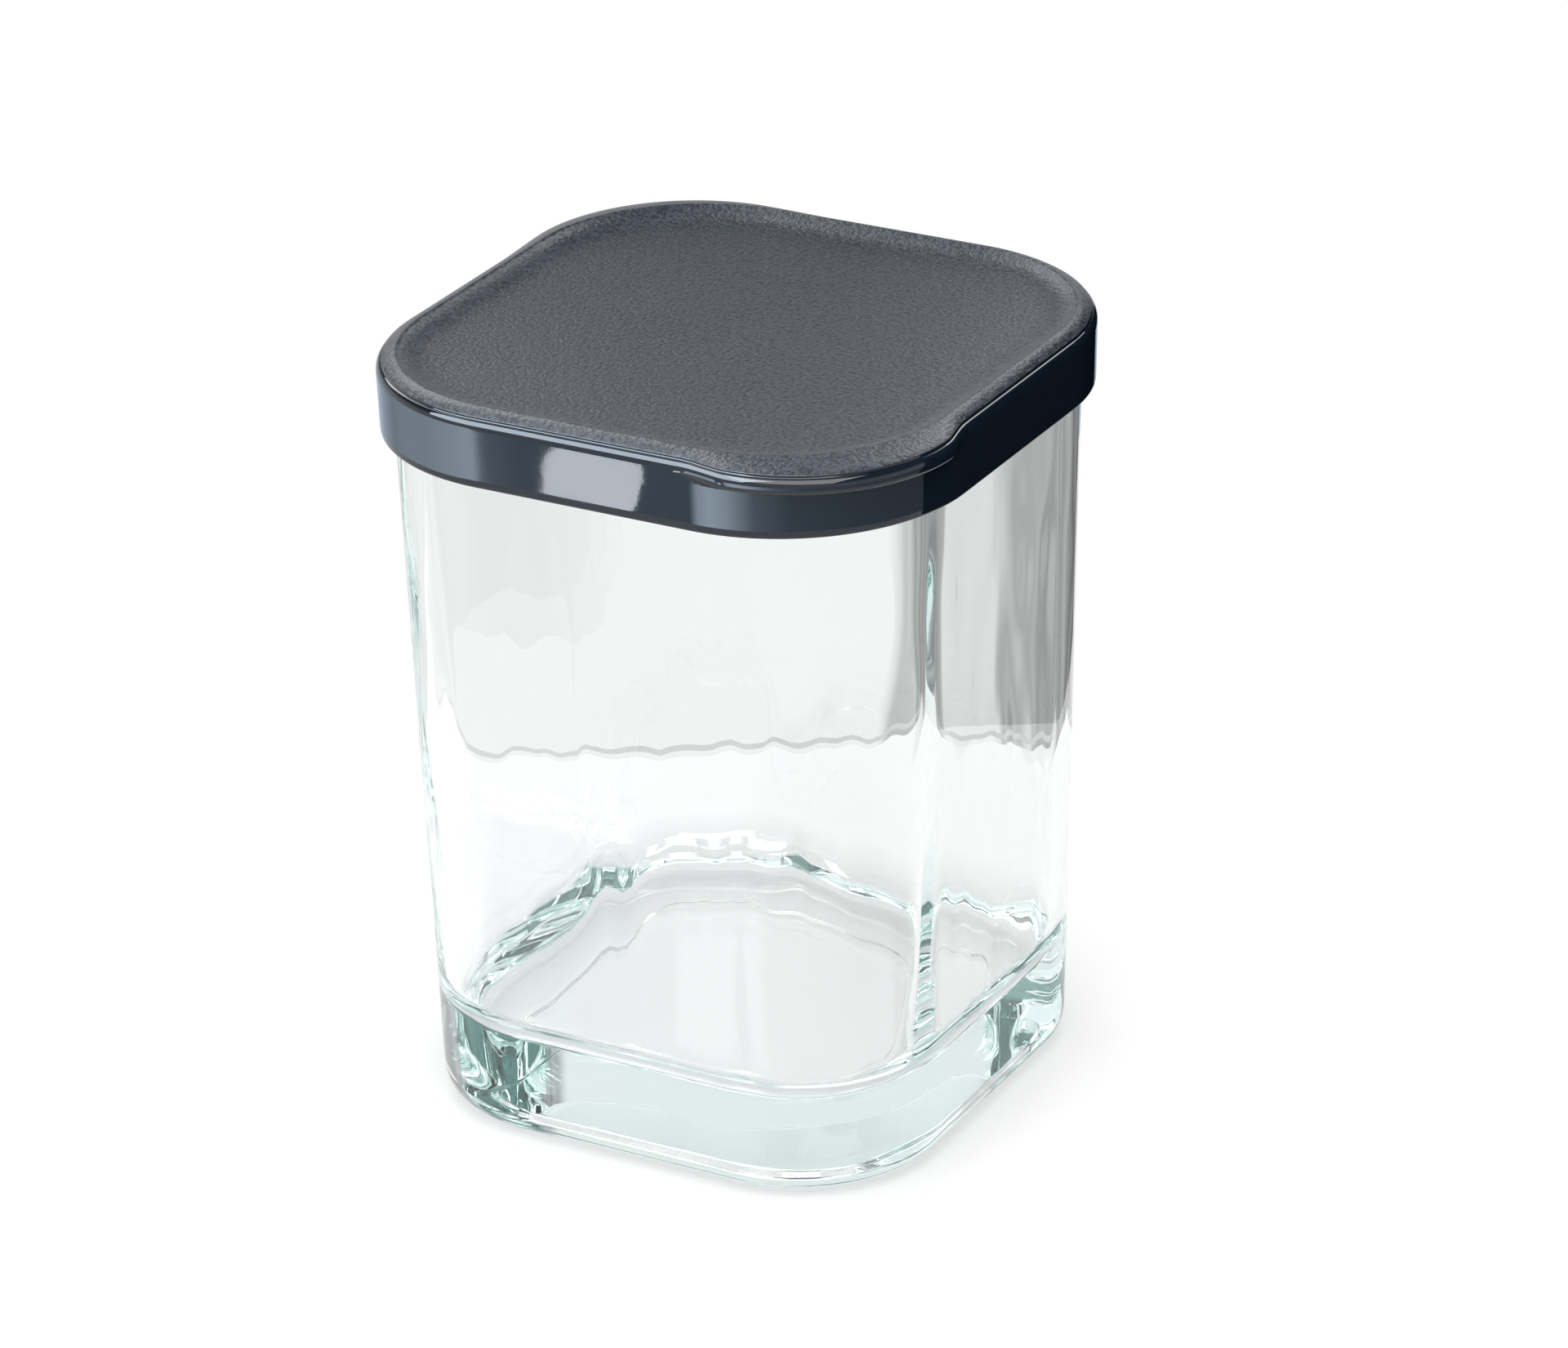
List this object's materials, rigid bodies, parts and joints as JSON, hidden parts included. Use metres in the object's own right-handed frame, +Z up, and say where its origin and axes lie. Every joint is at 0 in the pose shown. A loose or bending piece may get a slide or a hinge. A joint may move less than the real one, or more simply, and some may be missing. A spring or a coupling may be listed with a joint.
{
  "type": "lidded glass canister",
  "caption": "Square canister of thick clear pressed glass with a dark push-on lid that lifts off by finger lips at its corners.",
  "frame": {"origin": "centre of the jar's foot, on the plane it stands on", "axes": "+Z up the jar's centre line towards the lid; +X and +Y square to the jar's flat sides, with the lid's finger lips on the corners between +X and -Y and between -X and +Y"},
  "size_m": [0.1026, 0.1026, 0.129],
  "materials": {
    "clear_glass": "clear pressed glass, faint aqua tint",
    "lid_plastic": "dark blue-grey, fine matt grain on top and polished on the skirt",
    "plug_plastic": "satin, dark blue-grey",
    "seal_silicone": "satin translucent silicone"
  },
  "bodies": {
    "jar": {"glass_jar": "clear_glass"},
    "lid": {"lid_cover": "lid_plastic", "lid_plug": "plug_plastic", "seal_ring": "seal_silicone"}
  },
  "joints": [
    {"name": "lid_lift", "type": "slide", "parent": "jar", "child": "lid", "axis": [0, 0, 1], "range_m": [0, 0.06]}
  ]
}
